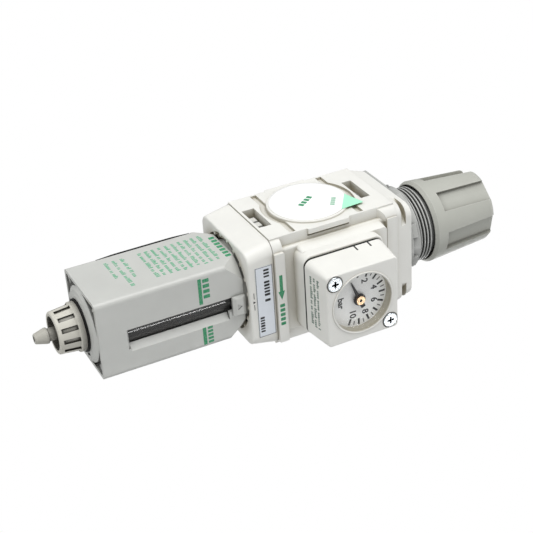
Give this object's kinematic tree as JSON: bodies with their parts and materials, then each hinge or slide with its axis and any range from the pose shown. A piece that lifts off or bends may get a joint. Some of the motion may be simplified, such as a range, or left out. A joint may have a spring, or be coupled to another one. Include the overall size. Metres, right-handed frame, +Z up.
{
  "type": "air filter regulator",
  "caption": "Compressed-air filter regulator with a ribbed pull-to-turn knob, square dial gauge, threaded side ports and a guarded bayonet bowl with a turn drain.",
  "frame": {"origin": "centre of the inlet port mouth, on the left face; the stem axis stands 20 mm along +X from it", "axes": "+Z up along the stem towards the adjusting knob, -Y towards the gauge face, -X out of the inlet port"},
  "size_m": [0.04, 0.0587, 0.1618],
  "materials": {
    "white_body": "satin moulded plastic",
    "guard_grey": "satin moulded plastic",
    "knob_grey": "fine textured plastic",
    "drain_grey": "satin moulded plastic",
    "light_grey_plastic": "satin moulded plastic",
    "label_film": "smooth printed film",
    "smoked_bowl": "smoked clear polycarbonate",
    "clear_lens": "clear acrylic",
    "translucent_plastic": "translucent nylon",
    "black_rubber": "nitrile rubber",
    "dial_white": "matt printed face",
    "dial_black": "matt black paint",
    "brass": "machined brass",
    "zinc_steel": "bright zinc plate",
    "spring_steel": "drawn spring wire",
    "aluminium_plate": "pressed plate",
    "sintered_element": "porous sintered polypropylene"
  },
  "bodies": {
    "housing": {"body": "white_body", "front_strips": "white_body", "bowl_collar": "white_body", "name_label": "label_film", "bonnet_cover": "white_body", "bonnet": "light_grey_plastic", "diaphragm": "black_rubber", "valve_seat": "brass", "spring_retainer": "light_grey_plastic", "gauge_gasket": "black_rubber", "gauge_housing": "white_body", "gauge_dial": "dial_white", "gauge_lens": "clear_lens", "gauge_socket": "brass", "bourdon_tube": "brass", "blanking_plate": "white_body", "blanking_gasket": "black_rubber", "rail_clips": "dial_black", "rail_pins": "zinc_steel", "baffle": "light_grey_plastic", "filter_element": "sintered_element", "element_retainer": "translucent_plastic", "gauge_screws": "zinc_steel", "blanking_screws": "zinc_steel", "regulating_spring": "spring_steel", "valve_spring": "spring_steel"},
    "valve": {"diaphragm_plate": "aluminium_plate", "valve_rod": "brass", "poppet_seal": "black_rubber"},
    "seat": {"spring_seat": "brass"},
    "screw": {"adjusting_screw": "zinc_steel"},
    "knob": {"adjusting_knob": "knob_grey"},
    "needle": {"gauge_pointer": "dial_black", "gauge_hub": "brass"},
    "bowl": {"bowl_guard": "guard_grey", "bowl": "smoked_bowl", "bowl_oring": "black_rubber", "lock_spring": "spring_steel", "drain_washer": "black_rubber"},
    "button": {"lock_button": "guard_grey"},
    "drain_handle": {"drain_knob": "drain_grey"},
    "drain_valve": {"drain_stem": "drain_grey", "drain_oring": "black_rubber"}
  },
  "joints": [
    {"name": "knob_turn", "type": "hinge", "parent": "housing", "child": "screw", "pos_m": [0.02, 0, 0.05], "axis": [0, 0, -1], "range_deg": [0, 1800]},
    {"name": "knob_pull", "type": "slide", "parent": "screw", "child": "knob", "axis": [0, 0, 1], "range_m": [0, 0.003]},
    {"name": "seat_travel", "type": "slide", "parent": "housing", "child": "seat", "axis": [0, 0, -1], "range_m": [0, 0.005], "deforming": ["regulating_spring"]},
    {"name": "valve_travel", "type": "slide", "parent": "housing", "child": "valve", "axis": [0, 0, -1], "range_m": [0, 0.0006], "stiffness_N_per_m": 1200, "springref_m": -0.001, "deforming": ["valve_spring", "diaphragm"]},
    {"name": "needle_turn", "type": "hinge", "parent": "housing", "child": "needle", "pos_m": [0.02, -0.032, -0.0002], "axis": [0, 1, 0], "range_deg": [0, 225]},
    {"name": "bowl_turn", "type": "hinge", "parent": "housing", "child": "bowl", "pos_m": [0.02, 0, -0.026], "axis": [0, 0, 1], "range_deg": [0, 45]},
    {"name": "lock_press", "type": "slide", "parent": "bowl", "child": "button", "axis": [0, 0, -1], "range_m": [0, 0.002], "stiffness_N_per_m": 300, "springref_m": -0.001},
    {"name": "drain_turn", "type": "hinge", "parent": "bowl", "child": "drain_handle", "pos_m": [0.02, 0, -0.085], "axis": [0, 0, -1], "range_deg": [0, 180]},
    {"name": "drain_lift", "type": "slide", "parent": "bowl", "child": "drain_valve", "axis": [0, 0, 1], "range_m": [0, 0.001]}
  ],
  "couplings": [
    {"joint": "seat_travel", "follows": "knob_turn", "m_per_rad": 0.00015914},
    {"joint": "drain_lift", "follows": "drain_turn", "m_per_rad": 0.00031828}
  ]
}
